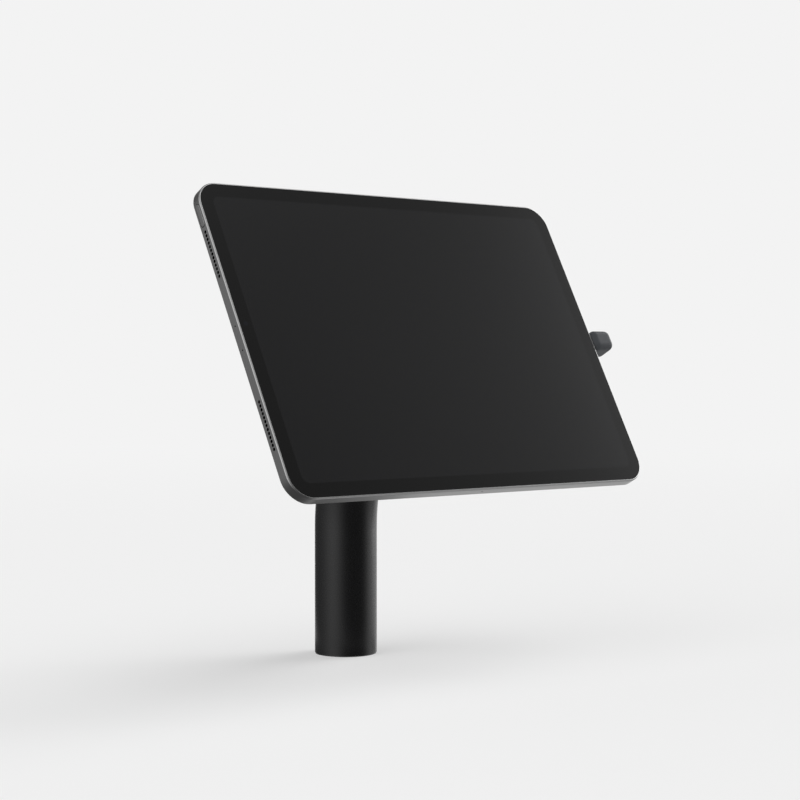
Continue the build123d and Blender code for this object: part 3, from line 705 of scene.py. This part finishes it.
# Finishes by slot
def build_materials():
    """One finish for each slot of the record."""
    return {
        "powder_coat_black": powder_coated_steel(),
        "anodised_grey": blasted_anodised_aluminium(),
        "turned_aluminium": turned_aluminium("turned_aluminium_foot", (0.0, 0.0, 0.0), 0.0),
        "zinc_steel": zinc_plated_steel(),
        "connector_steel": drawn_nickel_steel(),
        "plug_plastic": satin_plastic(
            "satin_elastomer_grey", "#444649", roughness=0.5, grain_size=0.5 * MM, shine=0.14
        ),
        "black_plastic": satin_plastic(
            "moulded_abs_black", "#141415", roughness=0.45, grain_size=0.4 * MM
        ),
        "bearing_plastic": satin_plastic(
            "moulded_acetal_black", "#161616", roughness=0.3, grain_size=0.8 * MM
        ),
        "lead_jacket": satin_plastic(
            "extruded_tpe_black", "#121213", roughness=0.55, grain_size=0.3 * MM
        ),
        "foam_tape": closed_cell_foam(),
        "battery_foil": laminated_foil(),
        "board_laminate": solder_masked_board(),
        "cover_glass_black": coated_cover_glass(),
        "display_stack": display_layers(),
        "lens_glass": lens_glass(),
    }


def dress_nodes(materials):
    """Each CAD node takes the finish of its slot in the record."""
    head_turned = turned_aluminium("turned_aluminium_head", mouth, head_tilt)
    for name, node in nodes.items():
        node.data.materials.clear()
        node.data.materials.append(materials[slot_of[name]])
    for name in ("head_socket", "lock_nut"):
        nodes[name].data.materials[0] = head_turned
    nodes["flash_lamp"].data.materials[0] = lamp_diffuser()


# Pieces
def on_head(x, y, z):
    """Points given across, up and out from the tube's mouth, in the row frame."""
    x, y, z = np.broadcast_arrays(x, y, z)
    return (
        mouth + x[..., None] * across + y[..., None] * upward + z[..., None] * outward
    )


def skin(name, rings, material, body):
    """A closed piece through rings of equal count, with a fan of triangles over each end."""
    levels, count = rings.shape[:2]
    ends = [rings[0].mean(axis=0), rings[-1].mean(axis=0)]
    points = np.vstack((rings.reshape(-1, 3), ends))
    faces = []
    for level in range(levels - 1):
        for i in range(count):
            j = (i + 1) % count
            low, high = level * count, (level + 1) * count
            faces.append((low + i, low + j, high + j, high + i))
    last = (levels - 1) * count
    for i in range(count):
        j = (i + 1) % count
        faces.append((levels * count, j, i))
        faces.append((levels * count + 1, last + i, last + j))
    mesh = bpy.data.meshes.new(name)
    mesh.from_pydata(points.tolist(), [], faces)
    mesh.polygons.foreach_set("use_smooth", [len(face) == 4 for face in faces])
    mesh.materials.append(material)
    piece = bpy.data.objects.new(name, mesh)
    bpy.context.scene.collection.objects.link(piece)
    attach(piece, body)
    return piece


def make_foam_pad(material):
    """Round foam tape between the bracket plate and the tablet's back. Its faces are flat and its
    rim bulges: the radius is the full one less the bulge times one minus the sine of pi times the
    share of the thickness that lies below."""
    bulge = 0.25 * MM
    levels = 9
    sides = 160
    back, front = span("adhesive_pad", outward, mouth)
    radius = span("adhesive_pad", across, mouth)[1]
    share = np.linspace(0.0, 1.0, levels)[:, None]
    turn = np.linspace(0.0, 2 * math.pi, sides, endpoint=False)[None, :]
    rim = radius - bulge * (1 - np.sin(math.pi * share))
    rings = on_head(rim * np.cos(turn), rim * np.sin(turn), back + (front - back) * share)
    pad = skin("foam_pad", rings, material, "tablet")
    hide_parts("adhesive_pad")


# Stage. Reflections see the backdrop about its azimuth, between two cosines of the angle from it.
# The wedge of bright floor starts and ends at angles from its own azimuth, lies behind a line
# across the floor, and leaves a dark ring round the foot
backdrop_colour = linear("#f3f3f3")
backdrop_azimuth = 38.0
backdrop_outside = 0.8
backdrop_inside = 0.93
wedge_azimuth = 37.0
wedge_corner = (-0.25, -0.35, 0.0)
wedge_start = 15.0
wedge_end = 30.0
wedge_front = -0.075
wedge_back = -0.05
foot_dark = 0.035
foot_clear = 0.085


def aim(azimuth, elevation):
    """Unit direction: azimuth in degrees from +X towards +Y, elevation above the horizon."""
    turn, rise = math.radians(azimuth), math.radians(elevation)
    return (
        math.cos(turn) * math.cos(rise),
        math.sin(turn) * math.cos(rise),
        math.sin(rise),
    )


def make_floor():
    """A wide pale floor that fades into the backdrop's colour. Reflections see it bright where it
    runs towards the backdrop, in a wedge from a point before the stand but not in the shade round
    its foot, and elsewhere look past it into the dim room. From below it isn't there, so that the
    stand's foot can be seen."""
    reach = 12.0
    near = 0.5
    far = 2.5
    near_share = 0.43
    drop = 0.02 * MM
    mesh = bpy.data.meshes.new("floor")
    corners = [(-reach, -reach), (reach, -reach), (reach, reach), (-reach, reach)]
    mesh.from_pydata([(x, y, -drop) for x, y in corners], [], [(0, 1, 2, 3)])
    floor = bpy.data.objects.new("floor", mesh)
    bpy.context.scene.collection.objects.link(floor)
    made, tree, place = begin("matt_studio_paper")
    away = add(tree, "ShaderNodeVectorMath", {0: place}, operation="LENGTH")
    fade = add(
        tree,
        "ShaderNodeMapRange",
        {
            "Value": away.outputs["Value"],
            "From Min": near,
            "From Max": far,
            "To Min": near_share,
            "To Max": 1.0,
        },
        interpolation_type="SMOOTHSTEP",
    )
    rays = add(tree, "ShaderNodeLightPath")
    seen = add(
        tree,
        "ShaderNodeMath",
        {0: rays.outputs["Is Camera Ray"], 1: rays.outputs["Is Transmission Ray"]},
        operation="MAXIMUM",
    )
    share = add(
        tree,
        "ShaderNodeMath",
        {0: seen.outputs["Value"], 1: fade.outputs["Result"]},
        operation="MULTIPLY",
    )
    paper = add(tree, "ShaderNodeBsdfDiffuse", {"Color": linear("#eeeeee")})
    backdrop = add(tree, "ShaderNodeEmission", {"Color": backdrop_colour})
    lit = add(
        tree,
        "ShaderNodeMixShader",
        {
            "Fac": share.outputs["Value"],
            1: paper.outputs["BSDF"],
            2: backdrop.outputs["Emission"],
        },
    )
    from_corner = add(
        tree, "ShaderNodeVectorMath", {0: place, 1: wedge_corner}, operation="SUBTRACT"
    )
    heading = add(
        tree, "ShaderNodeVectorMath", {0: from_corner.outputs["Vector"]}, operation="NORMALIZE"
    )
    inside = add(
        tree,
        "ShaderNodeVectorMath",
        {0: heading.outputs["Vector"], 1: aim(wedge_azimuth, 0.0)},
        operation="DOT_PRODUCT",
    )
    bright = add(
        tree,
        "ShaderNodeMapRange",
        {
            "Value": inside.outputs["Value"],
            "From Min": math.cos(math.radians(wedge_end)),
            "From Max": math.cos(math.radians(wedge_start)),
        },
        interpolation_type="SMOOTHSTEP",
    )
    across_floor = add(tree, "ShaderNodeSeparateXYZ", {"Vector": place})
    behind = add(
        tree,
        "ShaderNodeMapRange",
        {"Value": across_floor.outputs["Y"], "From Min": wedge_front, "From Max": wedge_back},
        interpolation_type="SMOOTHSTEP",
    )
    off_foot = add(
        tree,
        "ShaderNodeMapRange",
        {"Value": away.outputs["Value"], "From Min": foot_dark, "From Max": foot_clear},
        interpolation_type="SMOOTHSTEP",
    )
    open_floor = add(
        tree,
        "ShaderNodeMath",
        {0: behind.outputs["Result"], 1: off_foot.outputs["Result"]},
        operation="MULTIPLY",
    )
    shining = add(
        tree,
        "ShaderNodeMath",
        {0: bright.outputs["Result"], 1: open_floor.outputs["Value"]},
        operation="MULTIPLY",
    )
    past = add(tree, "ShaderNodeBsdfTransparent")
    mirrored = add(
        tree,
        "ShaderNodeMixShader",
        {
            "Fac": shining.outputs["Value"],
            1: past.outputs["BSDF"],
            2: backdrop.outputs["Emission"],
        },
    )
    whole = add(
        tree,
        "ShaderNodeMixShader",
        {
            "Fac": rays.outputs["Is Glossy Ray"],
            1: lit.outputs["Shader"],
            2: mirrored.outputs["Shader"],
        },
    )
    side = add(tree, "ShaderNodeNewGeometry")
    one_sided = add(
        tree,
        "ShaderNodeMixShader",
        {
            "Fac": side.outputs["Backfacing"],
            1: whole.outputs["Shader"],
            2: past.outputs["BSDF"],
        },
    )
    add(tree, "ShaderNodeOutputMaterial", {"Surface": one_sided.outputs["Shader"]})
    mesh.materials.append(made)


# Soft lights of the studio: azimuth, elevation, strength at the centre, tightness and cap. None
# shines brighter than its cap, as the flat face of a softbox
soft_lights = (
    (-28.5, 8.0, 1.32, 15.0, 9.0),  # right of the post
    (178.0, 22.0, 1.63, 4.9, 9.0),  # broad, from the left
    (-49.0, 65.0, 2.35, 35.0, 9.0),  # over the glass's upper left
    (-2.0, 20.0, 404.0, 60.0, 3.5),  # softbox on the right
    (0.0, 55.0, 3.3, 50.0, 9.0),  # high on the right
    (190.0, 40.0, 0.46, 6.0, 9.0),  # high on the left
    (85.0, 57.0, 0.9, 30.0, 9.0),  # high behind
    (-90.0, 55.0, 1.4, 30.0, 9.0),  # high in front
    (-36.0, 39.0, 0.07, 60.0, 9.0),  # dim reflector in the glass
    (-31.0, 38.5, 0.135, 150.0, 9.0),  # dim reflector in the glass's right half
    (198.0, 4.0, 0.2, 12.0, 9.0),  # fill beside the camera
    (128.0, 8.0, 0.15, 14.0, 9.0),  # fill on the casing's left side
    (-30.0, -38.0, 1.0, 14.0, 9.0),  # the pale floor in front, for reflections
)
room_light = 0.138


def make_world():
    """A pale room lit by broad soft lights. Each one's strength falls off as a power of the
    cosine from its centre. The camera, metal and glass see the pale backdrop where it stands."""
    world = bpy.data.worlds.new("studio")
    bpy.context.scene.world = world
    world.use_nodes = True
    tree = world.node_tree
    tree.nodes.clear()
    looks = add(tree, "ShaderNodeTexCoord").outputs["Generated"]
    total = None
    for azimuth, elevation, strength, tightness, cap in soft_lights:
        facing = add(
            tree,
            "ShaderNodeVectorMath",
            {0: looks, 1: aim(azimuth, elevation)},
            operation="DOT_PRODUCT",
        )
        ahead = add(
            tree, "ShaderNodeMath", {0: facing.outputs["Value"], 1: 0.0}, operation="MAXIMUM"
        )
        fall = add(
            tree, "ShaderNodeMath", {0: ahead.outputs["Value"], 1: tightness}, operation="POWER"
        )
        held = add(
            tree,
            "ShaderNodeMath",
            {0: fall.outputs["Value"], 1: cap / strength},
            operation="MINIMUM",
        )
        total = add(
            tree,
            "ShaderNodeMath",
            {0: held.outputs["Value"], 1: strength, 2: total or room_light},
            operation="MULTIPLY_ADD",
        ).outputs["Value"]
    lights = add(
        tree, "ShaderNodeBackground", {"Color": (1.0, 1.0, 1.0, 1.0), "Strength": total}
    )
    backdrop = add(tree, "ShaderNodeBackground", {"Color": backdrop_colour})
    rays = add(tree, "ShaderNodeLightPath")
    beside = add(
        tree,
        "ShaderNodeVectorMath",
        {0: looks, 1: aim(backdrop_azimuth, 0.0)},
        operation="DOT_PRODUCT",
    )
    standing = add(
        tree,
        "ShaderNodeMapRange",
        {
            "Value": beside.outputs["Value"],
            "From Min": backdrop_outside,
            "From Max": backdrop_inside,
        },
        interpolation_type="SMOOTHSTEP",
    )
    reflected = add(
        tree,
        "ShaderNodeMath",
        {0: rays.outputs["Is Glossy Ray"], 1: standing.outputs["Result"]},
        operation="MULTIPLY",
    )
    seen = add(
        tree,
        "ShaderNodeMath",
        {0: rays.outputs["Is Camera Ray"], 1: rays.outputs["Is Transmission Ray"]},
        operation="MAXIMUM",
    )
    shown = add(
        tree,
        "ShaderNodeMath",
        {0: seen.outputs["Value"], 1: reflected.outputs["Value"]},
        operation="MAXIMUM",
    )
    mixed = add(
        tree,
        "ShaderNodeMixShader",
        {
            "Fac": shown.outputs["Value"],
            1: lights.outputs["Background"],
            2: backdrop.outputs["Background"],
        },
    )
    add(tree, "ShaderNodeOutputWorld", {"Surface": mixed.outputs["Shader"]})


bpy.context.scene.view_settings.view_transform = "Standard"
make_camera()
make_world()
make_floor()
finishes = build_materials()
dress_nodes(finishes)
make_foam_pad(finishes["foam_tape"])
